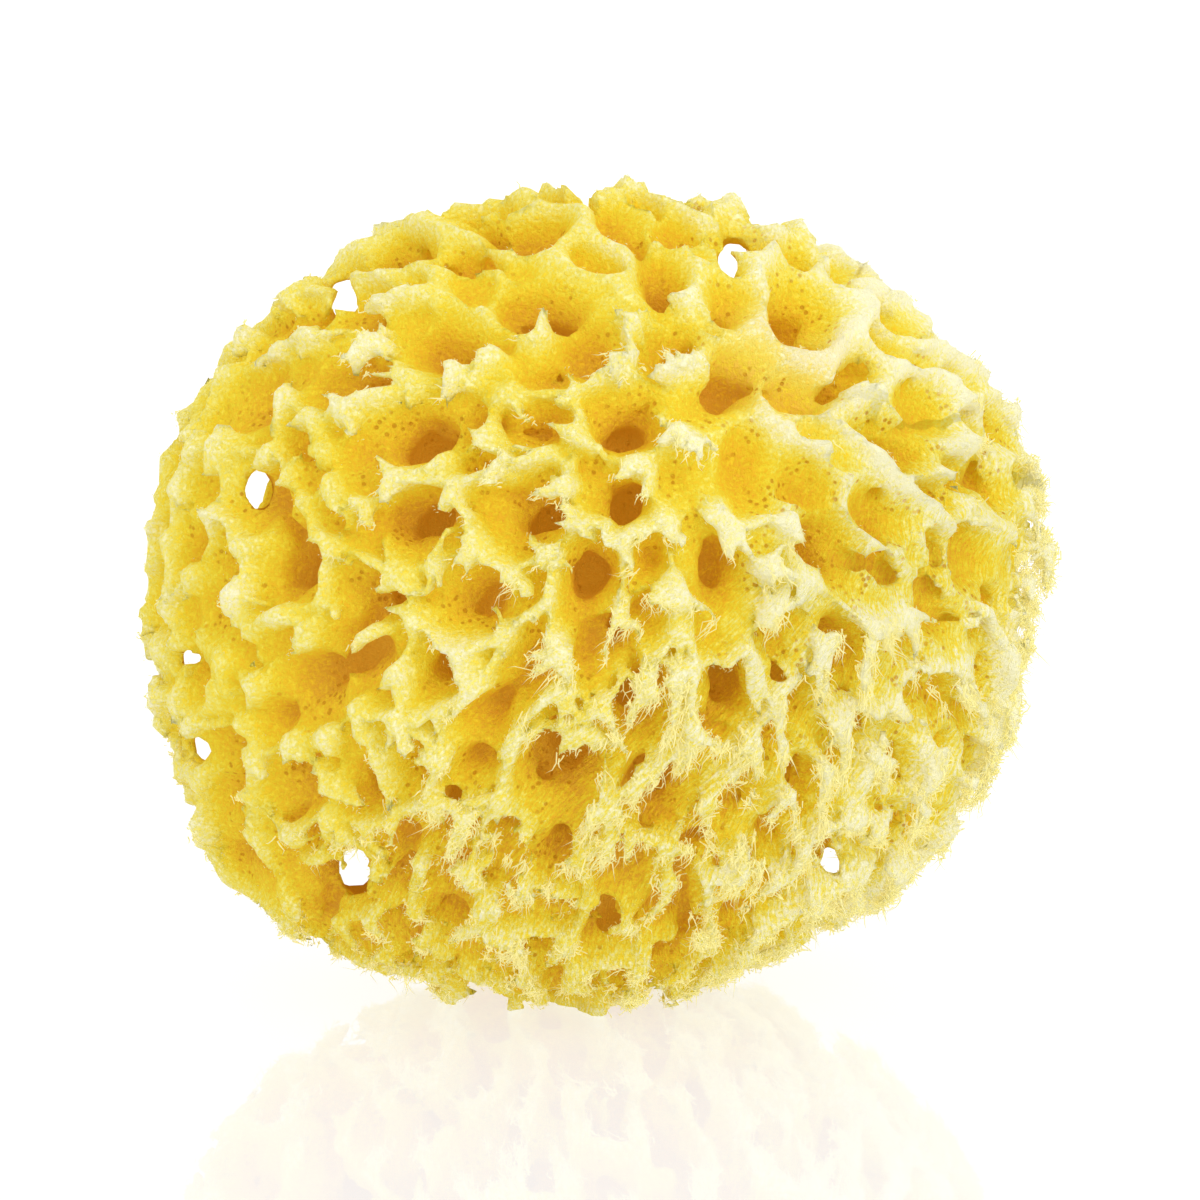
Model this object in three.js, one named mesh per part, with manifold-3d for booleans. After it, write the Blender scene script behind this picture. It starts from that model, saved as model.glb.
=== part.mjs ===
// A natural bath sponge: one grown, porous body, roughly an ellipsoid 140 mm wide, cut flat where it
// was taken off the rock. Its whole skin is a honeycomb of hollows with raised crests between them,
// and a few narrow channels run right through near the edge of the broad front face.
// Millimetres, +Z up, the front face looks towards -Y. The origin is the middle of the flat base.
import * as THREE from "three";
import { ConvexGeometry } from "three/addons/geometries/ConvexGeometry.js";
import { mergeVertices } from "three/addons/utils/BufferGeometryUtils.js";
import Module from "manifold-3d";

// Overall shape: half the width, depth and height of the body before the base is cut.
const HALF_WIDTH = 68.4;
const HALF_DEPTH = 53.5;
const HALF_HEIGHT = 65.6;
const CENTRE_HEIGHT = 62.6; // of the body's middle above the base, so the cut takes off 3 mm

// Where the body swells or draws in: the way from its middle, how far round that, by how much.
const SWELLS = [
  { toward: [0.94, 0.07, 0.33], degrees: 14, height: 3.8 },
  { toward: [0.99, -0.03, -0.14], degrees: 10, height: -3.4 },
  { toward: [0.5, -0.18, -0.85], degrees: 26, height: -3.4 },
  { toward: [-0.77, -0.13, -0.63], degrees: 18, height: 4.4 },
  { toward: [-0.98, -0.04, -0.17], degrees: 13, height: 1.8 },
  { toward: [-0.93, 0.08, 0.37], degrees: 12, height: 1.8 },
  { toward: [0.1, -0.95, -0.2], degrees: 32, height: 2.0 },
  { toward: [-0.4, 0.8, 0.4], degrees: 26, height: 2.2 },
  { toward: [0.5, 0.8, -0.3], degrees: 24, height: -1.8 },
];

// The crests between the hollows rise to points where there is most room between them.
const CREST_RISE = 3.0; // of the points above the outline
const CREST_ROOM = 3.0; // from the nearest hollow's edge to a point that is full height

// The broad face leans back a little. Its hollows are placed across it in millimetres,
// right and up from its middle, with their radius and depth.
const FACE_TILT = THREE.MathUtils.degToRad(12);
const FACE_HOLLOWS = [
  [-8, 47, 5.0, 12], [-24, 41, 5.0, 11], [-18, 31, 5.0, 9], [0, 41, 4.6, 8], [8, 31, 5.0, 10],
  [13, 57, 3.4, 7], [22, 46, 3.4, 7], [14, 41, 4.6, 8], [34, 46, 6.6, 13], [24, 36, 5.4, 10],
  [-8, 16, 5.2, 12], [6, 18, 4.6, 10], [-31, 15, 6.2, 13], [-31, 28, 6.0, 11], [-19, 23, 3.2, 8],
  [38, 19, 3.8, 9], [42, 8, 6.2, 10], [28, 23, 5.2, 9], [0, 6, 6.2, 10], [12, 8, 3.6, 9],
  [-39, 36, 6.0, 10], [-51, 6, 6.0, 11], [-39, 2, 5.2, 10], [-20, 1, 5.6, 8], [24, 6, 5.4, 10],
  [10, -17, 5.2, 12], [26, -15, 5.0, 12], [-5, -29, 6.4, 13], [-25, -38, 4.8, 12], [-39, -30, 4.8, 11],
  [-30, -27, 4.2, 11], [12, -33, 5.2, 12], [7, -44, 5.0, 10], [-23, -47, 4.2, 9], [-26, -10, 5.4, 10],
  [-10, -12, 4.8, 8], [38, -32, 4.6, 10], [44, -8, 5.4, 10], [-49, -14, 5.4, 9], [26, -46, 4.4, 8],
];

// The rest of the body's hollows are spread evenly and vary in size.
const SPREAD_HOLLOWS = 1400; // tried, and kept where there is room
const SPREAD_RADIUS = [3.6, 6.2];
const SPREAD_DEPTH = [7, 12];
const HOLLOW_GAP = 1.08; // of the two radii's sum: closer hollows would break into each other
const HOLLOW_STRETCH = 1.25; // along the way the crests lie
const GRAIN_POLE = new THREE.Vector3(0.28, -0.7, 0.66).normalize(); // the crests lie away from here
const FLOOR_SHARE = 0.58; // of a hollow's radius that is floor
const RIM_POINTS = 8;
const FLOOR_POINTS = 6;

// Channels right through the body, along the way the face looks: right, up, radius.
const CHANNELS = [
  [-62, -8, 2.6], [-52, 17, 2.0], [-38, 47, 2.4], [20, 54, 2.0], [39, -41, 2.2], [-37, -42, 2.8],
];
const CHANNEL_SIDES = 8;
const CHANNEL_REACH = 80; // each way from the body's middle plane, well past its skin

const CREST_POINTS = 1500; // tried over the whole body, and kept where no hollow is
const LEAST_SPACING = 2.1; // between the corners of the skin
const BASE_POINTS = 24; // round the edge of the flat base
const BASE_HALF_WIDTH = 22;
const BASE_HALF_DEPTH = 18;

const GOLDEN_ANGLE = Math.PI * (3 - Math.sqrt(5));
const MEAN_RADIUS = (HALF_WIDTH + HALF_DEPTH + HALF_HEIGHT) / 3;
const DOWN = new THREE.Vector3(0, 0, -1);

// An even spiral of directions over a whole sphere.
function spiralDirection(index, count) {
  const z = 1 - (2 * index + 1) / count;
  const ring = Math.sqrt(1 - z * z);
  const turn = index * GOLDEN_ANGLE;
  return new THREE.Vector3(ring * Math.cos(turn), ring * Math.sin(turn), z);
}

// A repeatable number from 0 to 1 for each index and kind of choice.
function pick(index, kind) {
  const s = Math.sin(index * 12.9898 + kind * 78.233) * 43758.5453;
  return s - Math.floor(s);
}

function between([low, high], share) {
  return low + (high - low) * share;
}

// Distance from the body's middle to its outline.
function outlineRadius(u) {
  const oval = 1 / Math.hypot(u.x / HALF_WIDTH, u.y / HALF_DEPTH, u.z / HALF_HEIGHT);
  return SWELLS.reduce((radius, { toward, degrees, height }) => {
    const away = u.angleTo(new THREE.Vector3(...toward)) / THREE.MathUtils.degToRad(degrees);
    return radius + height * Math.exp(-away * away);
  }, oval);
}

// The way the crests lie at a direction, along the skin.
function grainAt(u) {
  return u.clone().multiplyScalar(GRAIN_POLE.dot(u)).sub(GRAIN_POLE).normalize();
}

// A place on the face as a direction from the body's middle.
function faceDirection(right, up) {
  const x = right / HALF_WIDTH;
  const v = up / HALF_HEIGHT;
  const out = Math.sqrt(Math.max(0, 1 - x * x - v * v));
  const s = Math.sin(FACE_TILT);
  const c = Math.cos(FACE_TILT);
  return new THREE.Vector3(x, v * s - out * c, v * c + out * s).normalize();
}

// Where a downward direction meets the base's plane, as a share of the way to the base's edge.
function baseShare(u) {
  if (u.z >= 0) return Infinity;
  const reach = CENTRE_HEIGHT / -u.z;
  return Math.hypot((u.x * reach) / BASE_HALF_WIDTH, (u.y * reach) / BASE_HALF_DEPTH);
}

function makeHollow(centre, radius, depth) {
  const grain = grainAt(centre);
  return { centre, radius, depth, grain, across: new THREE.Vector3().crossVectors(centre, grain) };
}

// Face hollows first, then spread ones wherever they keep clear of those before.
function makeHollows() {
  const list = FACE_HOLLOWS.map(([right, up, r, d]) => makeHollow(faceDirection(right, up), r, d));
  for (let i = 0; i < SPREAD_HOLLOWS; i++) {
    const u = spiralDirection(i, SPREAD_HOLLOWS);
    u.x += 0.06 * (pick(i, 1) - 0.5);
    u.y += 0.06 * (pick(i, 2) - 0.5);
    u.z += 0.06 * (pick(i, 3) - 0.5);
    u.normalize();
    const r = between(SPREAD_RADIUS, pick(i, 4));
    const d = between(SPREAD_DEPTH, pick(i, 5));
    const clear = list.every(
      (h) => u.angleTo(h.centre) * MEAN_RADIUS > HOLLOW_GAP * (r + h.radius),
    );
    if (clear && baseShare(u) > 1 + (1.4 * r) / BASE_HALF_DEPTH) list.push(makeHollow(u, r, d));
  }
  return list;
}

const hollows = makeHollows();

// A direction's distance from a hollow's middle, as a share of the hollow's radius.
function shareOfHollow(u, h) {
  const along = u.dot(h.grain) / HOLLOW_STRETCH;
  return (Math.hypot(along, u.dot(h.across)) * MEAN_RADIUS) / h.radius;
}

// Distance from the body's middle to its skin, hollows and crests included.
function skinRadius(u) {
  let sink = 0;
  let room = CREST_ROOM;
  for (const h of hollows) {
    if (u.dot(h.centre) < 0.8) continue;
    const share = shareOfHollow(u, h);
    const slope = THREE.MathUtils.clamp((1 - share) / (1 - FLOOR_SHARE), 0, 1);
    sink = Math.max(sink, h.depth * slope);
    room = Math.min(room, (share - 1) * h.radius);
  }
  return outlineRadius(u) + (sink > 0 ? -sink : (CREST_RISE * room) / CREST_ROOM);
}

function hollowRing(h, share, count) {
  return Array.from({ length: count }, (_, i) => {
    const turn = (i / count) * 2 * Math.PI;
    const reach = (h.radius * share) / MEAN_RADIUS;
    return h.centre
      .clone()
      .addScaledVector(h.grain, Math.cos(turn) * reach * HOLLOW_STRETCH)
      .addScaledVector(h.across, Math.sin(turn) * reach)
      .normalize();
  });
}

// The directions of the skin's corners: base edge, hollows, then crests in the space left.
function skinDirections() {
  const wanted = [DOWN.clone()];
  for (let i = 0; i < BASE_POINTS; i++) {
    const turn = (i / BASE_POINTS) * 2 * Math.PI;
    const x = BASE_HALF_WIDTH * Math.cos(turn);
    const y = BASE_HALF_DEPTH * Math.sin(turn);
    wanted.push(new THREE.Vector3(x, y, -CENTRE_HEIGHT).normalize());
  }
  for (const h of hollows) {
    wanted.push(h.centre, ...hollowRing(h, FLOOR_SHARE, FLOOR_POINTS));
  }
  for (const h of hollows) wanted.push(...hollowRing(h, 1.04, RIM_POINTS));
  for (let i = 0; i < CREST_POINTS; i++) {
    const u = spiralDirection(i, CREST_POINTS);
    if (hollows.every((h) => shareOfHollow(u, h) > 1.1 || u.dot(h.centre) < 0)) wanted.push(u);
  }
  const kept = [];
  const least = Math.cos(LEAST_SPACING / MEAN_RADIUS);
  wanted.forEach((u, i) => {
    const inBase = i > BASE_POINTS && baseShare(u) < 1.03;
    if (!inBase && kept.every((k) => k.dot(u) < least)) kept.push(u);
  });
  return kept;
}

// The skin as a closed geometry: directions meshed over a sphere, then each moved out to its place.
function skinGeometry() {
  const geometry = new ConvexGeometry(skinDirections());
  const corner = geometry.getAttribute("position");
  const u = new THREE.Vector3();
  for (let i = 0; i < corner.count; i++) {
    u.fromBufferAttribute(corner, i).normalize();
    const toBase = u.z < 0 ? CENTRE_HEIGHT / -u.z : Infinity;
    const inBase = baseShare(u) < 1.001;
    u.multiplyScalar(inBase ? toBase : Math.min(skinRadius(u), toBase));
    corner.setXYZ(i, u.x, u.y, inBase ? 0 : Math.max(u.z + CENTRE_HEIGHT, 0));
  }
  return geometry;
}

// A straight channel's cutter, along the way the face looks.
function channelGeometry([right, up, radius]) {
  const section = new THREE.Shape();
  for (let i = 0; i < CHANNEL_SIDES; i++) {
    const turn = (i / CHANNEL_SIDES) * 2 * Math.PI;
    const corner = [radius * Math.cos(turn), radius * Math.sin(turn)];
    if (i) section.lineTo(...corner);
    else section.moveTo(...corner);
  }
  return new THREE.ExtrudeGeometry(section, { depth: 2 * CHANNEL_REACH, bevelEnabled: false })
    .translate(right, up, -CHANNEL_REACH)
    .rotateX(Math.PI / 2 - FACE_TILT)
    .translate(0, 0, CENTRE_HEIGHT);
}

const wasm = await Module();
wasm.setup();

function solidFrom(geometry) {
  const bare = new THREE.BufferGeometry().setAttribute("position", geometry.getAttribute("position"));
  if (geometry.index) bare.setIndex(geometry.index);
  const merged = mergeVertices(bare, 1e-3);
  return new wasm.Manifold(
    new wasm.Mesh({
      numProp: 3,
      vertProperties: merged.attributes.position.array,
      triVerts: new Uint32Array(merged.index.array),
    }),
  );
}

function geometryFrom(solid) {
  const made = solid.getMesh();
  const geometry = new THREE.BufferGeometry();
  geometry.setAttribute("position", new THREE.BufferAttribute(made.vertProperties, 3));
  geometry.setIndex(new THREE.BufferAttribute(made.triVerts, 1));
  geometry.computeVertexNormals();
  return geometry;
}

let body = solidFrom(skinGeometry());
for (const channel of CHANNELS) body = body.subtract(solidFrom(channelGeometry(channel)));
const { min, max } = body.boundingBox();
body = body.translate([-(min[0] + max[0]) / 2, -(min[1] + max[1]) / 2, 0]);

const sponge = new THREE.Mesh(
  geometryFrom(body),
  new THREE.MeshStandardMaterial({ color: 0xf2d25c, roughness: 0.95, metalness: 0 }),
);
sponge.name = "sponge";

const part = new THREE.Group();
part.add(sponge);

export default part;
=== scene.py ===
import math
from collections import namedtuple

import bmesh
import bpy
import numpy as np
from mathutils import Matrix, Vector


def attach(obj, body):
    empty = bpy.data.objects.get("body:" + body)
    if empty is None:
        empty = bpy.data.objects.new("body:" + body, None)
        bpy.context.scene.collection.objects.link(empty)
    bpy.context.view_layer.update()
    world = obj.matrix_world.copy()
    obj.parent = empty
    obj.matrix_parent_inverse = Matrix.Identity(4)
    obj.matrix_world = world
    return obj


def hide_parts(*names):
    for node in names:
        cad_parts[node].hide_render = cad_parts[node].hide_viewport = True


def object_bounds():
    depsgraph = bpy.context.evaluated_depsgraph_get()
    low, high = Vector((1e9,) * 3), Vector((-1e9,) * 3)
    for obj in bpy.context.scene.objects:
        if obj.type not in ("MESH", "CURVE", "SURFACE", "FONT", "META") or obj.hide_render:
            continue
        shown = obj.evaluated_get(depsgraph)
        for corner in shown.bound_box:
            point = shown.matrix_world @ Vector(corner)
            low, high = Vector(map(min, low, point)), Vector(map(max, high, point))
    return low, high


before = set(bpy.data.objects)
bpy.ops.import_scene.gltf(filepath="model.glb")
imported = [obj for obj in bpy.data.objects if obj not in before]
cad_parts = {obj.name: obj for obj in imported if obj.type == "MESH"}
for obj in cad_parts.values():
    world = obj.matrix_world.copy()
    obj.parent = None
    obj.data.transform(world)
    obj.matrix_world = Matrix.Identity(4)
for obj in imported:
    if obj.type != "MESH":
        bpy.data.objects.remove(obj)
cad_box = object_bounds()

import openvdb
from mathutils import Vector

# ---------------------------------------------------------------- sponge body
# The body is one springy network of horny fibre, grown round a honeycomb of hollows. What is left
# between them stands up in thin crests and claws that lean away from the crown. It was cut off
# flat underneath, where it had sat on the rock, and it rests on that cut.

# Sizes are in millimetres, and the frame's metres are 1000 of them. The outline that the crests
# reach is a ball stretched to the solid's box, pushed in and out by a few broad swells: a
# direction, a spread in degrees and a height.
box_low, box_high = (1000 * np.array(corner) for corner in cad_box)
wide, deep, tall = box_high - box_low
HALF_WIDTH, HALF_DEPTH, HALF_HEIGHT = 0.481 * wide, 0.471 * deep, 0.507 * tall
CENTRE = np.array([0, 0, 0.484 * tall])
MEAN_RADIUS = (HALF_WIDTH + HALF_DEPTH + HALF_HEIGHT) / 3
SWELLS = [
    ((0.94, 0.07, 0.33), 14, 3.8),
    ((0.99, -0.03, -0.14), 10, -3.4),
    ((0.5, -0.18, -0.85), 26, -3.4),
    ((-0.77, -0.13, -0.63), 18, 4.4),
    ((-0.98, -0.04, -0.17), 13, 1.8),
    ((-0.93, 0.08, 0.37), 12, 1.8),
    ((0.1, -0.95, -0.2), 32, 2.0),
    ((-0.4, 0.8, 0.4), 26, 2.2),
    ((0.5, 0.8, -0.3), 24, -1.8),
]


def unit(v):
    v = np.asarray(v, float)
    return v / np.linalg.norm(v, axis=-1, keepdims=True)


def eased(x, low, high):
    """A smooth step from 0 at low to 1 at high."""
    share = np.clip((x - low) / (high - low), 0, 1)
    return share * share * (3 - 2 * share)


def outline_at(x, y, z):
    """How far the outline is from the middle in the direction x, y, z."""
    reach = 1 / np.sqrt((x / HALF_WIDTH) ** 2 + (y / HALF_DEPTH) ** 2 + (z / HALF_HEIGHT) ** 2)
    for toward, degrees, swell in SWELLS:
        way = unit(toward)
        off = np.arccos(np.clip(x * way[0] + y * way[1] + z * way[2], -1, 1)) / math.radians(degrees)
        reach = reach + swell * np.exp(-off * off)
    return reach


# The top and its right shoulder grow smooth folds in place of claws.
SHOULDER = unit([0.66, -0.42, 0.62])


def calm_at(x, y, z):
    """1 where the folds are smooth, 0 where the crests are clawed."""
    shoulder = eased(x * SHOULDER[0] + y * SHOULDER[1] + z * SHOULDER[2], 0.80, 0.97)
    return np.maximum(shoulder, eased(z - 0.1 * x, 0.72, 0.90))


# Every crest leans away from the crown, a spot high on the right of the front.
CROWN = unit([0.28, -0.70, 0.66])


def settled_at(from_crown):
    """0 opposite the crown, where the leans meet and die away, and 1 over most of the body."""
    return eased(from_crown, -0.98, -0.62)


def shaggy_at(x, y, z):
    """1 low down and to the right, where the crests hang over in frayed tongues."""
    from_crown = x * CROWN[0] + y * CROWN[1] + z * CROWN[2]
    return eased(0.57 * x - 0.1 * y - 0.81 * z, -0.3, 0.5) * settled_at(from_crown)


def lean_at(u):
    """The way that the crests lean in the directions u, along the skin."""
    return unit(u * np.expand_dims(u @ CROWN, -1) - CROWN)


# The large hollows of the front: how far right and up from the middle of the face, the radius
# and the depth. The face is the front as it is seen from FACE_TILT above the level.
FACE_TILT = math.radians(12)
FACE_HOLLOWS = [
    (-8, 47, 5.0, 12), (-24, 41, 5.0, 11), (-18, 31, 5.0, 9), (0, 41, 4.6, 8), (8, 31, 5.0, 10),
    (13, 57, 3.4, 7), (22, 46, 3.4, 7), (14, 41, 4.6, 8), (34, 46, 6.6, 13), (24, 36, 5.4, 10),
    (-8, 16, 5.2, 12), (6, 18, 4.6, 10), (-31, 15, 6.2, 13), (-31, 28, 6.0, 11), (-19, 23, 3.2, 8),
    (38, 19, 3.8, 9), (42, 8, 6.2, 10), (28, 23, 5.2, 9), (0, 6, 6.2, 10), (12, 8, 3.6, 9),
    (-39, 36, 6.0, 10), (-51, 6, 6.0, 11), (-39, 2, 5.2, 10), (-20, 1, 5.6, 8), (24, 6, 5.4, 10),
    (10, -17, 5.2, 12), (26, -15, 5.0, 12), (-5, -29, 6.4, 13), (-25, -38, 4.8, 12), (-39, -30, 4.8, 11),
    (-30, -27, 4.2, 11), (12, -33, 5.2, 12), (7, -44, 5.0, 10), (-23, -47, 4.2, 9), (-26, -10, 5.4, 10),
    (-10, -12, 4.8, 8), (38, -32, 4.6, 10), (44, -8, 5.4, 10), (-49, -14, 5.4, 9), (26, -46, 4.4, 8),
]
Hollow = namedtuple("Hollow", "centre radius depth kind")


def face_direction(right, up):
    """The direction from the middle to a place on the face."""
    x, v = right / HALF_WIDTH, up / HALF_HEIGHT
    out = math.sqrt(max(0, 1 - x * x - v * v))
    s, c = math.sin(FACE_TILT), math.cos(FACE_TILT)
    return unit([x, v * s - out * c, v * c + out * s])


def spiral(count):
    """Directions spread evenly over a ball."""
    i = np.arange(count)
    z = 1 - (2 * i + 1) / count
    ring = np.sqrt(1 - z * z)
    turn = i * math.pi * (3 - math.sqrt(5))
    return np.stack([ring * np.cos(turn), ring * np.sin(turn), z], 1)


def pick(i, use):
    """A fixed number from 0 to 1 for the i-th thing, another for each use."""
    s = np.sin(i * 12.9898 + use * 78.233) * 43758.5453
    return float(s - np.floor(s))


def crowds(centre, radius, gap):
    """Whether a hollow here would come nearer to another than gap times their radii."""
    return any(
        math.acos(min(1, float(centre @ other.centre))) * MEAN_RADIUS < gap * (radius + other.radius)
        for other in hollows
    )


# Large hollows go all round the body, and shallow ones into the room that they leave. Those that
# aren't placed on the face are moved off an even spread by up to half of SCATTER each way.
SCATTER = 0.06
hollows = [Hollow(face_direction(right, up), r, depth, "deep") for right, up, r, depth in FACE_HOLLOWS]
for kind, tries, radii, depths, gap in (
    ("deep", 1400, (3.0, 5.6), (7, 12), 1.0),
    ("shallow", 2600, (1.9, 2.8), (3.0, 5.0), 1.05),
):
    for i, centre in enumerate(spiral(tries)):
        centre = unit(centre + SCATTER * np.array([pick(i, use) - 0.5 for use in (1, 2, 3)]))
        radius = np.interp(pick(i, 4), (0, 1), radii) * (1 - 0.12 * shaggy_at(*centre))
        if not crowds(centre, radius, gap):
            hollows.append(Hollow(centre, radius, np.interp(pick(i, 5), (0, 1), depths), kind))

# The deepest hollows have a throat, a narrower hole that goes on down from the floor.
for i, hollow in enumerate(list(hollows)):
    deep_enough = 9 if i < len(FACE_HOLLOWS) else 10.2
    if hollow.kind == "deep" and hollow.depth > deep_enough:
        shift = (pick(i, 11) - 0.7) * 0.5 * hollow.radius / MEAN_RADIUS
        centre = unit(hollow.centre + shift * lean_at(hollow.centre))
        radius = hollow.radius * (0.42 + 0.2 * pick(i, 12))
        hollows.append(Hollow(centre, radius, hollow.depth + 2.5, "throat"))

# Claws stand at the junctions of the crests, where a place is farthest from every hollow.
bowls = [hollow for hollow in hollows if hollow.kind != "throat"]
bowl_centres = np.array([bowl.centre for bowl in bowls])
bowl_radii = np.array([bowl.radius for bowl in bowls])
bowl_leans = lean_at(bowl_centres)
bowl_sides = np.cross(bowl_centres, bowl_leans)


def room_at(u):
    """How far the directions u are from the nearest hollow's edge, less than 0 inside it."""
    along, across = u @ bowl_leans.T / 1.2, u @ bowl_sides.T
    gap = np.hypot(along, across) * MEAN_RADIUS - bowl_radii
    gap[u @ bowl_centres.T < 0.5] = 99
    return gap.min(1)


LEAST_ROOM = -0.4
CLAW_GAP = 5.3
spots = spiral(7000)
room = room_at(spots)
claws = []
for i in np.argsort(-room):
    if room[i] < LEAST_ROOM:
        break
    u = spots[i]
    gap = CLAW_GAP + 2.5 * calm_at(*u) + 1.5 * shaggy_at(*u)
    if all(u @ other < math.cos(gap / MEAN_RADIUS) for other in claws):
        claws.append(u)
claws = np.array(claws)

# A claw is a hub on a stalk, with arms. Some go half way to a neighbour, or nearly all the way
# for WHOLE_CRESTS of them, and stand on a thin web that drops to the floor. The others end free,
# along the lean. An arm has its thickness at each end, and how far its web drops. No claw stands
# where the folds are calmer than MOST_CALM, and no arm goes over a hollow by more than OVER_HOLLOW.
MOST_CALM = 0.65
OVER_HOLLOW = 1
STALK_DEPTH = 7
NEIGHBOURS = 6
LONGEST_GAP = 12
MOST_JOINED = 3
FREE_ARMS = 3
WHOLE_CRESTS = 0.34
Arm = namedtuple("Arm", "start end thick thin drop")
arms = []
chance = np.random.default_rng(3)
nearness = claws @ claws.T
for i, u in enumerate(claws):
    reach = outline_at(*u)
    lean = lean_at(u)
    side = np.cross(u, lean)
    calm, shaggy = calm_at(*u), shaggy_at(*u)
    sunk = -0.6 + 1.2 * chance.random() + calm
    size = (0.55 + 0.85 * chance.random()) * (1 - 0.1 * shaggy)
    hub = u * (reach - sunk)
    if calm > MOST_CALM:
        continue
    arms.append(Arm(hub, u * (reach - STALK_DEPTH), 0.62 * size, 1.5 * size, 0))
    joined = 0
    for j in np.argsort(-nearness[i])[1 : 1 + NEIGHBOURS]:
        gap = math.acos(min(1.0, nearness[i, j])) * MEAN_RADIUS
        if gap > LONGEST_GAP or joined >= MOST_JOINED:
            break
        if room_at(unit(u + claws[j])[None])[0] < -OVER_HOLLOW:
            continue
        if chance.random() < 0.8 * shaggy * (1 - abs(unit(claws[j] - u) @ lean)):
            continue
        share, dip, thin = 0.4 + 0.14 * chance.random(), 1.4 + 2.2 * chance.random(), 0.36
        if chance.random() < WHOLE_CRESTS:
            share, dip, thin = 0.95, 0.4 * dip, 0.45
        way = unit(u * (1 - share) + claws[j] * share)
        end = way * (outline_at(*way) - sunk - dip)
        arms.append(Arm(hub, end, 0.54 * size, thin, 1 - 0.4 * shaggy))
        joined += 1
    for _ in range(FREE_ARMS):
        turn = chance.normal() * (1.1 - 0.8 * shaggy)
        way = lean * math.cos(turn) + side * math.sin(turn)
        long = (1.2 + 1.2 * size + 2.6 * chance.random()) * (1 + 1.3 * shaggy) * (1 - 0.3 * calm)
        aside = side * chance.normal() * (0.4 + 0.9 * shaggy)
        end = hub + way * long + aside + u * ((chance.random() - 0.6) * 1.8 - 0.9 * shaggy)
        arms.append(Arm(hub + 0.7 * aside, end, 0.8 * size, 0.2, 0.3 * (1 - shaggy)))

# The tissue is worked out on a grid of cells, as millimetres inside it, less than 0 outside.
CELL = 0.6
grid_low = np.array([-75.0, -62.0, -2.4])
grid_high = np.array([75.0, 62.0, 134.0])
count = np.ceil((grid_high - grid_low) / CELL).astype(int) + 1
ticks = [(grid_low[k] + CELL * np.arange(count[k])).astype(np.float32) for k in range(3)]
x = ticks[0][:, None, None]
y = ticks[1][None, :, None]
above_cut = ticks[2][None, None, :]
z = above_cut - np.float32(CENTRE[2])
far = np.sqrt(x * x + y * y + z * z) + np.float32(1e-3)
ux, uy, uz = x / far, y / far, z / far
depth = outline_at(ux, uy, uz).astype(np.float32) - far
calm = calm_at(ux, uy, uz).astype(np.float32)
shaggy = shaggy_at(ux, uy, uz).astype(np.float32)
noise_rng = np.random.default_rng(7)


def spline_weights(points, cell):
    """Weights that carry values on a lattice of this cell smoothly to the grid's points."""
    t = np.arange(points) * CELL / cell
    i = np.floor(t).astype(int)
    f = t - i
    weights = np.zeros((points, i.max() + 4), np.float32)
    rows = np.arange(points)
    weights[rows, i] = (1 - f) ** 3 / 6
    weights[rows, i + 1] = (3 * f**3 - 6 * f**2 + 4) / 6
    weights[rows, i + 2] = (-3 * f**3 + 3 * f**2 + 3 * f + 1) / 6
    weights[rows, i + 3] = f**3 / 6
    return weights


def lumps_of(cell):
    """Smooth noise over the grid from about -1 to 1, in lumps about twice this cell."""
    along_x, along_y, along_z = (spline_weights(count[k], cell) for k in range(3))
    shape = [weights.shape[1] for weights in (along_x, along_y, along_z)]
    values = noise_rng.uniform(-1, 1, shape).astype(np.float32)
    values = np.einsum("ai,ijk->ajk", along_x, values, optimize=True)
    values = np.matmul(along_y, values)
    values = np.matmul(values, along_z.T)
    return values / (3 * values.std())


# Streaks run along the lean, on a map of the turn round the crown by the angle from it.
ROUND_START = unit(np.cross(CROWN, [0, 0, 1]))
ROUND_NEXT = np.cross(ROUND_START, CROWN)
from_crown = ux * np.float32(CROWN[0]) + uy * np.float32(CROWN[1]) + uz * np.float32(CROWN[2])


def streaks_of(width, length, seed):
    """Noise from -1 to 1 in streaks of this width and length."""
    columns = int(2 * math.pi * MEAN_RADIUS / width)
    rows = int(math.pi * MEAN_RADIUS / length) + 3
    values = np.random.default_rng(seed).uniform(-1, 1, (columns, rows)).astype(np.float32)
    turn = np.arctan2(
        ux * ROUND_NEXT[0] + uy * ROUND_NEXT[1] + uz * ROUND_NEXT[2],
        ux * ROUND_START[0] + uy * ROUND_START[1] + uz * ROUND_START[2],
    ).astype(np.float32)
    a = (turn / (2 * math.pi) + 0.5) * columns
    b = np.arccos(np.clip(from_crown, -1, 1)) * (MEAN_RADIUS / length)
    ia, ib = np.floor(a).astype(np.int32), np.floor(b).astype(np.int32)
    fa, fb = eased(a - ia, 0, 1).astype(np.float32), eased(b - ib, 0, 1).astype(np.float32)
    ia, ia_next = ia % columns, (ia + 1) % columns
    near = values[ia, ib] * (1 - fa) + values[ia_next, ib] * fa
    next_on = values[ia, ib + 1] * (1 - fa) + values[ia_next, ib + 1] * fa
    return near * (1 - fb) + next_on * fb


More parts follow.
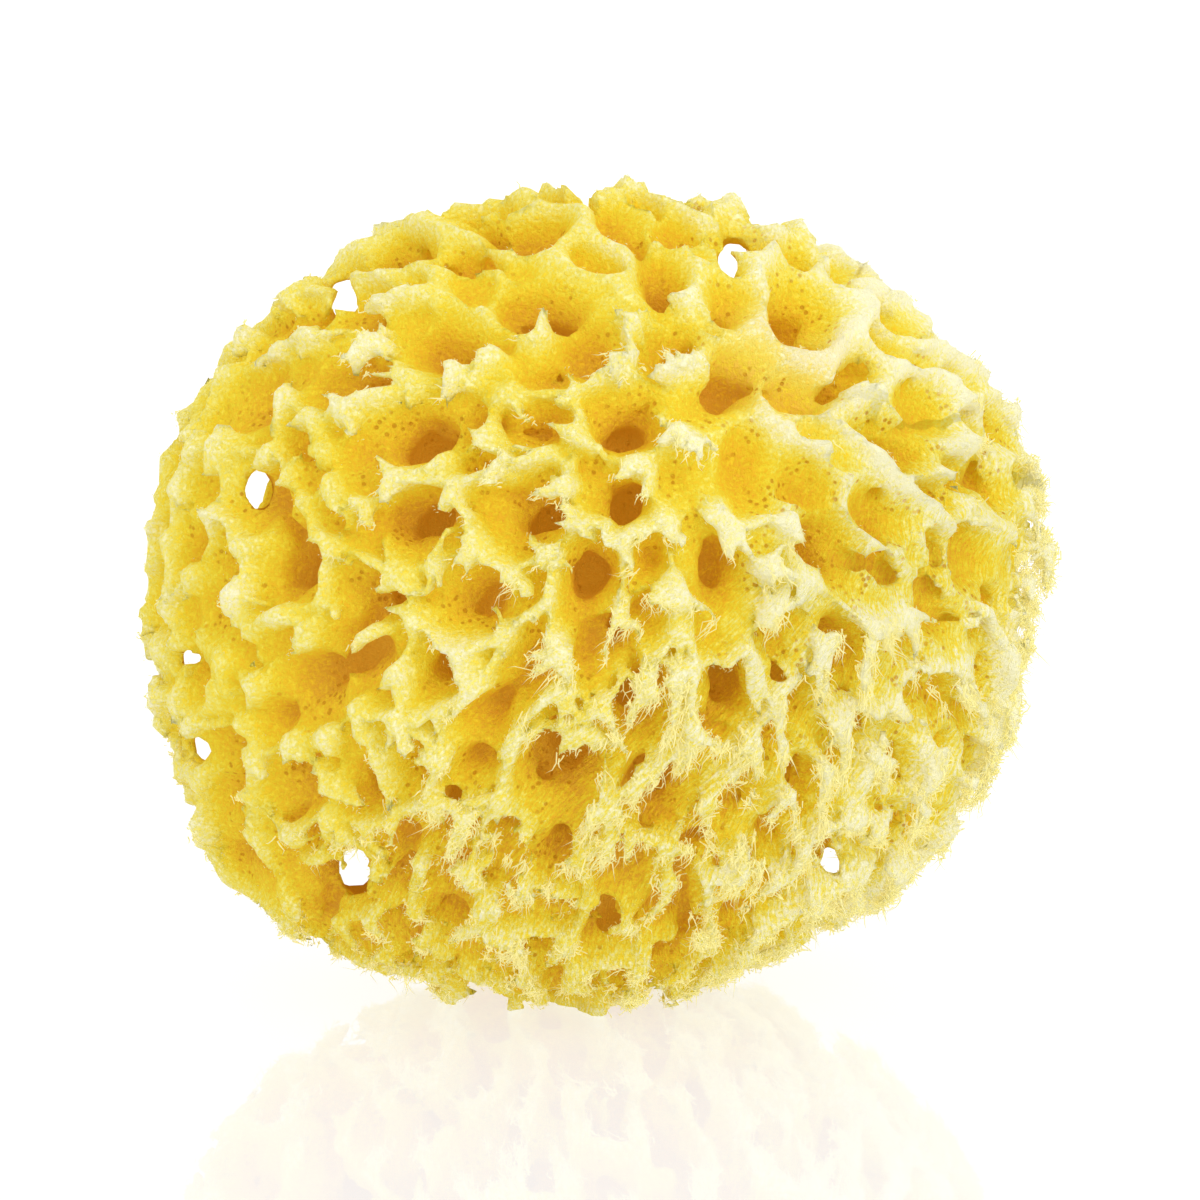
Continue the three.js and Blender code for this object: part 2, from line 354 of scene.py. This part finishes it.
# The space is bent before the hollows are cut, more towards the skin, so that crests lean. They
# stand straight from STRAIGHT_BELOW on down.
STRAIGHT_BELOW = 9
teeth = streaks_of(1.7, 4.5, 12)
lean_by = (4.2 - 2.6 * calm + 2.6 * shaggy) * np.clip((STRAIGHT_BELOW - depth) / 12, 0, 1.15) ** 1.7
lean_by *= 1 + 0.55 * streaks_of(5.0, 12.0, 11)
lean_by += (1 - calm) * 0.9 * teeth * np.clip((2.5 - depth) / 3, 0, 1)
lean_x, lean_y, lean_z = (from_crown * u - np.float32(c) for u, c in zip((ux, uy, uz), CROWN))
lean_size = np.sqrt(lean_x * lean_x + lean_y * lean_y + lean_z * lean_z)
lean_by *= settled_at(from_crown) / (lean_size + 1e-4)
broad_bend = 1.5 + 1.2 * calm
bent = [
    place - lean * lean_by + broad_bend * lumps_of(6.0) + 0.6 * lumps_of(2.8)
    for place, lean in zip((x, y, z), (lean_x, lean_y, lean_z))
]


def cells_near(centre, half):
    """The part of the grid within half, each way, of a place given from the middle."""
    first = np.maximum(0, np.floor((centre + CENTRE - half - grid_low) / CELL).astype(int))
    last = np.minimum(count, np.ceil((centre + CENTRE + half - grid_low) / CELL).astype(int) + 1)
    return tuple(slice(a, b) for a, b in zip(first, last))


def along(way, places):
    """How far places, as their x, y and z, are along a way."""
    return sum(p * np.float32(w) for p, w in zip(places, way))


# Each hollow is a bowl with a flat floor; a throat starts THROAT_TOP below the outline and goes
# deeper. FAR_OFF stands for any place too far from a hollow to matter.
THROAT_TOP = 3
FAR_OFF = 4.0
wall = np.full(depth.shape, FAR_OFF, np.float32)
throat = wall.copy()
for hollow in hollows:
    lean = lean_at(hollow.centre)
    side = np.cross(hollow.centre, lean)
    stretch = 1.15 if hollow.kind == "shallow" else 1.25
    shaggy_here = shaggy_at(*hollow.centre)
    stretch += 0.3 * calm_at(*hollow.centre) + 0.2 * shaggy_here
    middle = hollow.centre * (outline_at(*hollow.centre) - 0.4 * hollow.depth)
    middle = middle + (2.6 + 0.7 * shaggy_here) * lean
    half = [
        lean * (1.35 * hollow.radius * stretch + 6 + shaggy_here),
        side * (1.35 * hollow.radius + 5),
        hollow.centre * (0.6 * hollow.depth + 4),
    ]
    cells = cells_near(middle, np.linalg.norm(half, axis=0) + 0.5)
    near = [p[cells] for p in bent]
    level = depth[cells]
    floor_depth, floor_start, bore = hollow.depth, 0.3, hollow.radius
    if hollow.kind == "deep":
        floor_depth = 5.2 + 0.3 * hollow.depth
        bore = hollow.radius * (1.1 - 0.28 * eased(level, 0, 6))
    elif hollow.kind == "shallow":
        bore = hollow.radius * (0.84 + 0.26 * eased(level, 0, 3) + 0.13 * np.maximum(0, 1 - level))
    else:
        floor_start = 0.75
    off = np.hypot(along(lean, near) / np.float32(stretch), along(side, near)) / bore
    down = np.maximum(0, level / floor_depth - floor_start) / (1 - floor_start)
    away = (np.hypot(off, down) - 1) * bore
    if hollow.kind == "throat":
        throat[cells] = np.minimum(throat[cells], np.maximum(away, THROAT_TOP - level))
    else:
        wall[cells] = np.minimum(wall[cells], away)


def from_line(cells, start, end):
    """Offsets of cells from the nearest place on a line, and its share of the way along."""
    run = (end - start).astype(np.float32)
    offsets = [p[cells] - np.float32(s) for p, s in zip(bent, start)]
    share = np.clip(along(run, offsets) / np.float32(run @ run), 0, 1)
    return [offset - share * step for offset, step in zip(offsets, run)], share


# Round windows through the walls join neighbouring hollows, all but WINDOWLESS of the pairs.
WINDOWLESS = 0.35
LONGEST_WINDOW = 16
deep_hollows = [(i, hollow) for i, hollow in enumerate(hollows) if hollow.kind == "deep"]
for i, hollow in deep_hollows:
    gaps = [
        (math.acos(min(1, float(hollow.centre @ other.centre))) * MEAN_RADIUS, j)
        for j, other in deep_hollows
        if j > i
    ]
    for gap, j in sorted(gaps)[:2]:
        if gap > LONGEST_WINDOW or pick(i * 31 + j, 8) < WINDOWLESS:
            continue
        sunk = 4.0 + 3.0 * pick(i + j, 9)
        start = hollow.centre * (outline_at(*hollow.centre) - sunk)
        end = hollows[j].centre * (outline_at(*hollows[j].centre) - sunk)
        middle = (start + end) / 2
        lean = lean_at(unit(middle))
        cells = cells_near(middle + 2.4 * lean, np.abs(end - start) / 2 + 6 + 3 * np.abs(lean))
        offsets, _ = from_line(cells, start, end)
        away = np.sqrt(along(offsets, offsets)) - (1.1 + 1.1 * pick(i * 7 + j, 10))
        wall[cells] = np.minimum(wall[cells], away)

# Low crests are left between the hollows, highest where they are farthest from any.
rough = lumps_of(1.3)
lumps = lumps_of(2.6)
up = np.clip((wall + 0.3 * lumps) / (2.0 - 0.5 * calm), 0, 1.2) ** (1.0 - 0.4 * calm)
rise = -4.9 + 2.4 * calm + (3.4 - 0.6 * calm) * up + (1 - 0.75 * calm) * 1.2 * (teeth - 0.1) * up
rise += (0.5 - 0.25 * calm) * lumps + (0.3 - 0.15 * calm) * rough
solid = np.minimum(wall + 0.28 * rough + 0.4 * lumps, depth + rise)

# Everything is webbed together where it meets, hardly at the skin and more with depth, but less
# in the shaggy part.
knit = (0.6 + 0.36 * np.clip(depth, 0, 6)) * (1 - 0.4 * shaggy)


def knitted(a, b, width):
    """The union of two solids, with a fillet of this width where they meet."""
    web = np.maximum(width - np.abs(a - b), 0)
    return np.maximum(a, b) + web * web / (4 * width)


claw = np.full(depth.shape, -3.0, np.float32)
for arm in arms:
    middle = (arm.start + arm.end) / 2
    out = unit(middle)
    lean = lean_at(out)
    half = np.abs(arm.end - arm.start) / 2 + max(arm.thick, arm.thin) + 2.2
    swing = 1 + 0.3 * shaggy_at(*out)
    half += 3.2 * swing * np.abs(lean) + 3 * arm.drop * np.abs(out)
    cells = cells_near(middle + 2.6 * swing * lean - 3 * arm.drop * out, half)
    offsets, share = from_line(cells, arm.start, arm.end)
    apart = sum(offset * offset for offset in offsets)
    thickness = np.float32(arm.thick) + np.float32(arm.thin - arm.thick) * share
    if arm.drop:
        raised = along(out, offsets)
        under = np.clip(-raised, 0, np.float32(6 * arm.drop))
        apart += (raised + under) ** 2 - raised * raised
        thickness += np.float32(0.03) * under * under
    claw[cells] = knitted(thickness - np.sqrt(np.maximum(apart, 0)), claw[cells], knit[cells])
claw += 0.2 * rough + 0.15 * lumps + 0.3 * shaggy * teeth
solid = knitted(solid, claw, knit)
solid = np.minimum(solid, throat + 0.6 * rough + 1.3 * lumps)

# A few channels near the rim of the face go right through, wider inside than at the front:
# how far right and up from the middle of the face, and the radius.
CHANNELS = [
    (-38.5, 46, 1.4), (21, 52, 1.0), (-52, 17, 1.3), (-62, -9, 1.1),
    (-60, -23, 0.7), (-36.7, -41, 1.4), (37, -41, 1.0),
]
CHANNEL_TALLER = 1.35
SPLAY_DISTANCE = 700
face_up = z * math.cos(FACE_TILT) + y * math.sin(FACE_TILT)
face_ahead = z * math.sin(FACE_TILT) - y * math.cos(FACE_TILT)
splay = 1 - face_ahead / SPLAY_DISTANCE
mouth = 2.0 * np.clip(1 - depth / 3, 0, 1.2) + 1.6 * eased(depth, 3, 6) + 0.8 * (face_ahead < 0)
for right, up, radius in CHANNELS:
    off = np.hypot(x - right * splay, (face_up - up * splay) / CHANNEL_TALLER)
    solid = np.minimum(solid, off - radius - mouth - 1.2 * lumps - 0.4 * rough)
solid = np.minimum(solid, above_cut)


def mesh_piece(name, points, faces):
    """A mesh of points in millimetres and faces with the same number of corners each."""
    mesh = bpy.data.meshes.new(name)
    mesh.vertices.add(len(points))
    mesh.vertices.foreach_set("co", (0.001 * points).astype(np.float32).ravel())
    mesh.loops.add(faces.size)
    mesh.loops.foreach_set("vertex_index", faces.astype(np.int32).ravel())
    mesh.polygons.add(len(faces))
    mesh.polygons.foreach_set("loop_start", faces.shape[1] * np.arange(len(faces), dtype=np.int32))
    mesh.update(calc_edges=True)
    piece = bpy.data.objects.new(name, mesh)
    bpy.context.scene.collection.objects.link(piece)
    return piece


BODY_TRIANGLES = 194000
grid = openvdb.FloatGrid(background=3.0)
grid.copyFromArray(-np.clip(solid, -3, 3).astype(np.float32), tolerance=0)
points, _, quads = grid.convertToPolygons(isovalue=0.0, adaptivity=0.0)
body = mesh_piece("sponge_body", points * CELL + grid_low, quads[:, ::-1])
body.modifiers.new("fewer", "DECIMATE").ratio = min(1, BODY_TRIANGLES / (2 * len(quads)))
bpy.context.view_layer.objects.active = body
with bpy.context.temp_override(object=body, active_object=body):
    bpy.ops.object.modifier_apply(modifier="fewer")
body.data.polygons.foreach_set("use_smooth", np.ones(len(body.data.polygons), bool))


def vertex_values(mesh, kind):
    """The mesh's vertex places or normals, as rows."""
    values = np.empty(3 * len(mesh.vertices), np.float32)
    mesh.vertices.foreach_get(kind, values)
    return values.reshape(-1, 3)


def volume_at(volume, places, start, cell):
    """Values at places of a volume whose first cell is at start."""
    spot = (places - start) / cell
    i = np.clip(np.floor(spot).astype(int), 0, np.array(volume.shape) - 2)
    share = np.clip(spot - i, 0, 1).astype(np.float32)
    total = 0
    for corner in np.ndindex(2, 2, 2):
        weight = np.prod(np.where(corner, share, 1 - share), axis=1)
        a, b, c = (i + np.array(corner)).T
        total = total + weight * volume[a, b, c]
    return total


def blurred(volume):
    """The volume with each cell the mean of itself and its neighbours."""
    for k in range(3):
        padded = np.pad(volume, [(1, 1) if n == k else (0, 0) for n in range(3)], mode="edge")
        size = volume.shape[k]
        volume = sum(np.take(padded, np.arange(size) + step, axis=k) for step in range(3)) / 3
    return volume


# Four things are kept at each vertex for the colours: how far it is below the outline and how shut in it
# is by tissue round it, which give painted shade, how shaggy the body is there, and how far it faces
# right, where painted light makes it paler.
COARSE = 4
whole = count // COARSE
filled = (solid[: whole[0] * COARSE, : whole[1] * COARSE, : whole[2] * COARSE] > 0).astype(np.float32)
filled = filled.reshape(whole[0], COARSE, whole[1], COARSE, whole[2], COARSE).mean((1, 3, 5))
filled = blurred(blurred(filled))
places = 1000 * vertex_values(body.data, "co")
normals = vertex_values(body.data, "normal")
directions = unit(places - CENTRE)
below = volume_at(depth, places, grid_low, CELL)
shut_in = volume_at(filled, places + 1.5 * normals, grid_low + CELL * (COARSE - 1) / 2, CELL * COARSE)
shagginess = shaggy_at(*directions.T)


def keep(mesh, name, values):
    """Keeps a number, or a row of three, at each vertex for a material to read."""
    if values.ndim == 1:
        mesh.attributes.new(name, "FLOAT", "POINT").data.foreach_set("value", values.astype(np.float32))
    else:
        flat = values.astype(np.float32).ravel()
        mesh.attributes.new(name, "FLOAT_VECTOR", "POINT").data.foreach_set("vector", flat)


# The lean's own map, in metres, carries streaks that run along it.
turn = np.arctan2(directions @ ROUND_NEXT, directions @ ROUND_START)
off_crown = np.arccos(np.clip(directions @ CROWN, -1, 1))
map_across = 0.001 * MEAN_RADIUS * turn * np.sin(off_crown)
map_along = 0.001 * MEAN_RADIUS * off_crown
keep(body.data, "below", below)
keep(body.data, "shut_in", shut_in)
keep(body.data, "shaggy", shagginess)
# Painted light: how far each vertex faces right, where the colours are made paler.
keep(body.data, "bleached", eased(directions @ unit([0.95, -0.15, 0.1]), 0.1, 0.85))
keep(body.data, "lean_map", np.stack([map_across, map_along, 0.001 * below], 1))


class Value:
    """What a node gives out. Sums on it add Math nodes to its material."""

    def __init__(self, finish, socket):
        self.finish = finish
        self.socket = socket

    def sum(self, operation, first, second):
        return self.finish.node("ShaderNodeMath", {"operation": operation}, {0: first, 1: second})

    def __add__(self, other):
        return self.sum("ADD", self, other)

    def __sub__(self, other):
        return self.sum("SUBTRACT", self, other)

    def __rsub__(self, other):
        return self.sum("SUBTRACT", other, self)

    def __mul__(self, other):
        return self.sum("MULTIPLY", self, other)

    __radd__ = __add__
    __rmul__ = __mul__


class Finish:
    """A material, put together node by node."""

    def __init__(self, name):
        self.material = bpy.data.materials.new(name)
        self.material.use_nodes = True
        self.tree = self.material.node_tree
        self.tree.nodes.clear()

    def node(self, kind, settings, sockets, output=0):
        """Adds a node, makes its settings, fills or links its sockets and gives one output."""
        made = self.tree.nodes.new(kind)
        for name, setting in settings.items():
            if name == "stops":
                while len(made.color_ramp.elements) < len(setting):
                    made.color_ramp.elements.new(0.5)
                for element, (position, colour) in zip(made.color_ramp.elements, setting):
                    element.position = position
                    element.color = (*colour, 1)
            else:
                setattr(made, name, setting)
        for name, value in sockets.items():
            if isinstance(value, Value):
                self.tree.links.new(value.socket, made.inputs[name])
            else:
                made.inputs[name].default_value = value
        return Value(self, made.outputs[output])

    def show(self, shader):
        """Makes a shader the material's surface."""
        end = self.tree.nodes.new("ShaderNodeOutputMaterial")
        self.tree.links.new(shader.socket, end.inputs["Surface"])

    def eased(self, value, low, high):
        """A smooth step of a value, from 0 at low to 1 at high."""
        sockets = {"Value": value, "From Min": low, "From Max": high}
        return self.node("ShaderNodeMapRange", {"interpolation_type": "SMOOTHSTEP"}, sockets)

    def kept(self, name, output="Fac"):
        """What was kept at the vertices under a name."""
        return self.node("ShaderNodeAttribute", {"attribute_name": name}, {}, output)

    def noise(self, where, scale, detail, roughness):
        sockets = {"Vector": where, "Scale": scale, "Detail": detail, "Roughness": roughness}
        return self.node("ShaderNodeTexNoise", {}, sockets, "Fac")

    def mix(self, share, first, second):
        """A colour between two, the second where share is 1."""
        return self.node("ShaderNodeMix", {"data_type": "RGBA"}, {0: share, 6: first, 7: second}, 2)


# The tissue's yellow carries painted shade, set by depth and by how shut in it is: pale cream on the
# crests, golden in the hollows and tan in the deepest ones. Painted light makes its right side paler. It
# is speckled all over, and fine pores, painted as dark spots of shade, dot the hollows.
TISSUE_SHADE_COLOURS = [
    (0.0, (0.98, 0.95, 0.70)),
    (0.12, (0.96, 0.90, 0.46)),
    (0.27, (0.93, 0.81, 0.17)),
    (0.47, (0.91, 0.71, 0.045)),
    (0.72, (0.88, 0.57, 0.03)),
    (1.0, (0.76, 0.39, 0.035)),
]
PORE_SHADE_COLOUR = (0.60, 0.25, 0.012, 1)
BLUSH_COLOUR = (0.93, 0.68, 0.20, 1)
PAINTED_GLOW_TINT = (0.94, 0.88, 0.38)
BLUSH_PLACE = (0.029, -0.033, 0.107)

tissue = Finish("sponge tissue")
where = tissue.node("ShaderNodeTexCoord", {}, {}, "Object")
sunk = tissue.kept("below")
frayed = tissue.kept("shaggy")
drawn_out = {0: tissue.kept("lean_map", "Vector"), 1: (1.0, 0.16, 0.5)}
drawn_out = tissue.node("ShaderNodeVectorMath", {"operation": "MULTIPLY"}, drawn_out)
mottle = tissue.eased(tissue.noise(where, 1500, 4, 0.65), 0.3, 0.7)
speckle = tissue.eased(tissue.noise(where, 2600, 2, 0.6), 0.55, 0.7)
streak = tissue.eased(tissue.noise(drawn_out, 2200, 3, 0.6), 0.3, 0.7)
broad = tissue.noise(where, 45, 3, 0.5)
felt = tissue.noise(where, 3200, 3, 0.7)
pore = tissue.node("ShaderNodeTexVoronoi", {}, {"Vector": where, "Scale": 760}, "Distance")
pore = 1 - tissue.eased(pore, 0.16, 0.34)
pore = pore * tissue.eased(tissue.noise(where, 140, 2, 0.5), 0.46, 0.6) * tissue.eased(sunk, 1.5, 4)
# Painted shade: darker the deeper the tissue lies and the more it is shut in, and paler on the right side
# from painted light. The mottle, speckle, broad patches and streaks are the tissue's own.
shade_and_tone = 0.72 * tissue.eased(sunk, -2.5, 13) + 0.36 * tissue.eased(tissue.kept("shut_in"), 0.15, 0.8)
shade_and_tone = shade_and_tone + 0.26 * (mottle - 0.5) + 0.14 * speckle + 0.25 * (broad - 0.5)
shade_and_tone = shade_and_tone + frayed * (0.36 * streak - 0.11) - 0.27 * tissue.kept("bleached") + 0.07
colour = tissue.node("ShaderNodeValToRGB", {"stops": TISSUE_SHADE_COLOURS}, {"Fac": shade_and_tone})
blush = tissue.node("ShaderNodeVectorMath", {"operation": "DISTANCE"}, {0: where, 1: BLUSH_PLACE}, "Value")
blush = (1 - tissue.eased(blush, 0.005, 0.017)) * (0.1 + 0.35 * mottle)
colour = tissue.mix(blush, colour, BLUSH_COLOUR)
# Pores are painted as dark spots of shade in the hollows.
colour = tissue.mix(0.75 * pore, colour, PORE_SHADE_COLOUR)
# Painted glow: an emission in the tissue's own colours that lifts its shade.
glow = tissue.node("ShaderNodeVectorMath", {"operation": "MULTIPLY"}, {0: colour, 1: PAINTED_GLOW_TINT})
relief = 0.6 * felt + 0.7 * mottle - 0.8 * pore + 0.7 * streak * frayed
relief = tissue.node("ShaderNodeBump", {}, {"Strength": 0.8, "Distance": 0.0006, "Height": relief})
surface = {
    "Base Color": colour,
    "Roughness": 0.9,
    "Specular IOR Level": 0.12,
    "Emission Color": glow,
    "Emission Strength": 0.225,
    "Normal": relief,
}
surface = tissue.node("ShaderNodeBsdfPrincipled", {}, surface)
tissue.show(surface)
body.data.materials.append(tissue.material)

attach(body, "root")
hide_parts("sponge")

# ---------------------------------------------------------------- tip fibres
# Loose ends of the sponge's own fibre, up to about a quarter of a millimetre thick. They stand in
# small tufts on the tips of the claws, where the network has worn away, and trail along the lean.
# A strand lets some light through. Its colour carries painted shade, cream at the skin and yellow lower
# down, and a faint painted glow in the same colours.
fibre = Finish("loose fibre")
where = fibre.node("ShaderNodeTexCoord", {}, {}, "Object")
# Painted shade by depth below the outline, with the fibre's own random tone.
shade_and_tone = fibre.eased(fibre.kept("below"), -1, 7) + 0.4 * (fibre.noise(where, 260, 3, 0.6) - 0.5)
colour = fibre.mix(shade_and_tone, (0.98, 0.94, 0.54, 1), (0.95, 0.79, 0.16, 1))
# Painted glow: the strand's emission in its own colours.
skin = {
    "Base Color": colour,
    "Roughness": 0.8,
    "Specular IOR Level": 0.1,
    "Emission Color": colour,
    "Emission Strength": 0.26,
}
skin = fibre.node("ShaderNodeBsdfPrincipled", {}, skin)
glow = fibre.node("ShaderNodeBsdfTranslucent", {}, {"Color": (0.98, 0.93, 0.56, 1)})
both = fibre.node("ShaderNodeMixShader", {}, {0: 0.4, 1: skin, 2: glow})
fibre.show(both)


def strands(name, roots, ways, lengths, thick, sag, bends, seed):
    """Tapered three-sided strands, joined into one piece: a ring at each bend and a point.

    Also gives the number of points in each strand.
    """
    number = len(roots)
    chance = np.random.default_rng(seed)
    ways = unit(ways)
    side = unit(np.cross(ways, chance.normal(size=(number, 3))))
    other = np.cross(ways, side)
    share = np.linspace(0, 1, bends + 1)
    curl = unit(sag + 0.7 * chance.normal(size=(number, 3)))
    long = lengths[:, None, None]
    waves = np.sin(6 * share[None] + chance.uniform(0, 6, (number, 1)))[..., None]
    line = roots[:, None] + long * share[None, :, None] * ways[:, None]
    line = line + long * 0.45 * share[None, :, None] ** 2 * curl[:, None]
    line = line + long * 0.2 * waves * other[:, None]
    corner = 2 * math.pi * np.arange(3) / 3
    ring = side[:, None] * np.cos(corner)[None, :, None] + other[:, None] * np.sin(corner)[None, :, None]
    radius = thick / 2 * (1 - share[:-1]) ** 0.6
    rings = line[:, :-1, None] + radius[None, :, None, None] * ring[:, None]
    points = np.concatenate([rings.reshape(number, -1, 3), line[:, -1:]], 1)
    points[..., 2] = np.maximum(points[..., 2], 0.1)
    one = []
    for low in range(0, 3 * (bends - 1), 3):
        for k in range(3):
            a, b = low + k, low + (k + 1) % 3
            one += [(a, b, b + 3), (a, b + 3, a + 3)]
    last = 3 * (bends - 1)
    one += [(last + k, last + (k + 1) % 3, last + 3) for k in range(3)]
    points_each = points.shape[1]
    faces = np.array(one)[None] + (points_each * np.arange(number))[:, None, None]
    piece = mesh_piece(name, points.reshape(-1, 3), faces.reshape(-1, 3))
    piece.data.materials.append(fibre.material)
    return piece, points_each


def hand_over(piece, points_each, sunk):
    """Keeps how far below the outline each strand stands, and lets the piece ride the body."""
    keep(piece.data, "below", np.repeat(sunk, points_each))
    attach(piece, "root")


fibre_rng = np.random.default_rng(5)
leans = lean_at(directions)
calmness = calm_at(*directions.T)
off_floor = places[:, 2] > 2.5


def spread_roots(likely, number, again=False):
    """Vertices picked by how likely each is, none of them twice unless again is true."""
    return fibre_rng.choice(len(likely), number, replace=again, p=likely / likely.sum())


TIP_TUFTS, TIP_STRANDS = 4200, 3
likely = np.clip((0.34 - shut_in) / 0.2, 0, 1) ** 2 * np.clip((2 - below) / 2.5, 0, 1)
likely = likely * (0.8 + 0.7 * shagginess) * (1 - 0.8 * calmness) * off_floor
root = np.repeat(spread_roots(likely, TIP_TUFTS), TIP_STRANDS)
scatter = 0.3 * fibre_rng.normal(size=(len(root), 3))
ways = leans[root] + 0.35 * normals[root] + 0.3 * fibre_rng.normal(size=(len(root), 3))
lengths = fibre_rng.uniform(0.8, 2.8, len(root)) * (0.6 + 0.7 * shagginess[root])
sag = 0.3 * leans[root] - [0, 0, 0.3]
start = places[root] + scatter - 0.3 * ways
piece, points_each = strands("tip_fibres", start, ways, lengths, 0.28, sag, 3, 10)
hand_over(piece, points_each, 0.5 * below[root] - 0.5)

# ---------------------------------------------------------------- fringe
# Longer tufts of the same fibre, hanging from the tongues low down and to the right. All the
# strands of a tuft come away together and part only towards their ends.
FRINGE_TUFTS, FRINGE_STRANDS = 1500, 8
likely = np.clip((0.4 - shut_in) / 0.2, 0, 1) * np.clip((2.5 - below) / 2.5, 0, 1) * shagginess * off_floor
tuft = spread_roots(likely, FRINGE_TUFTS)
root = np.repeat(tuft, FRINGE_STRANDS)
tuft_ways = unit(0.9 * leans[tuft] + 0.6 * normals[tuft] + 0.25 * fibre_rng.normal(size=(len(tuft), 3)))
ways = np.repeat(tuft_ways, FRINGE_STRANDS, 0) + 0.16 * fibre_rng.normal(size=(len(root), 3))
lengths = np.repeat(fibre_rng.uniform(1.6, 4.2, len(tuft)), FRINGE_STRANDS)
lengths = lengths * fibre_rng.uniform(0.6, 1.1, len(root))
scatter = 0.45 * fibre_rng.normal(size=(len(root), 3))
sag = 0.3 * leans[root] - [0, 0, 0.3]
start = places[root] + scatter - 0.5 * ways
piece, points_each = strands("fringe", start, ways, lengths, 0.22, sag, 3, 6)
hand_over(piece, points_each, 0.5 * below[root])

# ---------------------------------------------------------------- down
# A short felt of fibre ends all over the crests, under a millimetre long. It blurs their edges
# and makes them look dry. It is in two pieces only to keep each one small.
DOWN_STRANDS = 22000
likely = np.clip((0.62 - shut_in) / 0.3, 0, 1) * np.clip((4.5 - below) / 5, 0, 1)
likely = likely * (0.35 + shagginess) * (places[:, 2] > 1)
for k, name in enumerate(("down_a", "down_b")):
    root = spread_roots(likely, DOWN_STRANDS, again=True)
    scatter = 0.35 * fibre_rng.normal(size=(len(root), 3))
    scatter -= normals[root] * (scatter * normals[root]).sum(1, keepdims=True)
    ways = 0.7 * leans[root] + 0.5 * normals[root] + 0.4 * fibre_rng.normal(size=(len(root), 3))
    lengths = fibre_rng.uniform(0.3, 0.8, len(root)) * (0.8 + 0.4 * shagginess[root])
    start = places[root] + scatter - 0.15 * normals[root]
    piece, points_each = strands(name, start, ways, lengths, 0.16, 0.3 * leans[root], 1, 7 + k)
    hand_over(piece, points_each, below[root])

# ---------------------------------------------------------------- table and light
# The sponge stands on a polished white table that mirrors it faintly, in an even white room,
# with one soft lamp high on the right and a weak one low on the same side.
table_mesh = bpy.data.meshes.new("table")
shape = bmesh.new()
bmesh.ops.create_grid(shape, x_segments=1, y_segments=1, size=3)
shape.to_mesh(table_mesh)
shape.free()
table = bpy.data.objects.new("table", table_mesh)
bpy.context.scene.collection.objects.link(table)
polish = Finish("white polish")
gloss = {
    "Base Color": (0.25, 0.25, 0.25, 1),
    "Roughness": 0.015,
    "Specular IOR Level": 0.5,
    "Emission Color": (1, 1, 1, 1),
    "Emission Strength": 0.66,
}
gloss = polish.node("ShaderNodeBsdfPrincipled", {}, gloss)
polish.show(gloss)
table_mesh.materials.append(polish.material)

room_light = bpy.data.worlds.new("white room")
room_light.use_nodes = True
room_light.node_tree.nodes["Background"].inputs["Color"].default_value = (1, 1, 1, 1)
room_light.node_tree.nodes["Background"].inputs["Strength"].default_value = 1.0
bpy.context.scene.world = room_light
bpy.context.scene.view_settings.view_transform = "Standard"


def point_at(thing, target):
    thing.rotation_euler = (Vector(target) - thing.location).to_track_quat("-Z", "Y").to_euler()


def lamp(name, place, size, watts):
    """A square soft lamp, aimed at the middle of the sponge."""
    light = bpy.data.lights.new(name, "AREA")
    light.size = size
    light.energy = watts
    holder = bpy.data.objects.new(name, light)
    holder.location = place
    point_at(holder, (0, 0, 0.06))
    bpy.context.scene.collection.objects.link(holder)


lamp("high_right", (0.5, -0.85, 0.85), 0.5, 2.0)
lamp("low_right", (0.75, -1.0, 0.12), 0.6, 1.5)

# ---------------------------------------------------------------- camera
# A long lens in front, looking down by the face's tilt.
VIEW_WIDTH = 0.185
AIM = Vector((0.001, 0, 0.0625))
lens = bpy.data.cameras.new("camera")
lens.lens = 135
lens.sensor_width = 36
camera = bpy.data.objects.new("camera", lens)
distance = VIEW_WIDTH * lens.lens / lens.sensor_width
camera.location = AIM + Vector((0, -math.cos(FACE_TILT), math.sin(FACE_TILT))) * distance
point_at(camera, AIM)
bpy.context.scene.collection.objects.link(camera)
bpy.context.scene.camera = camera
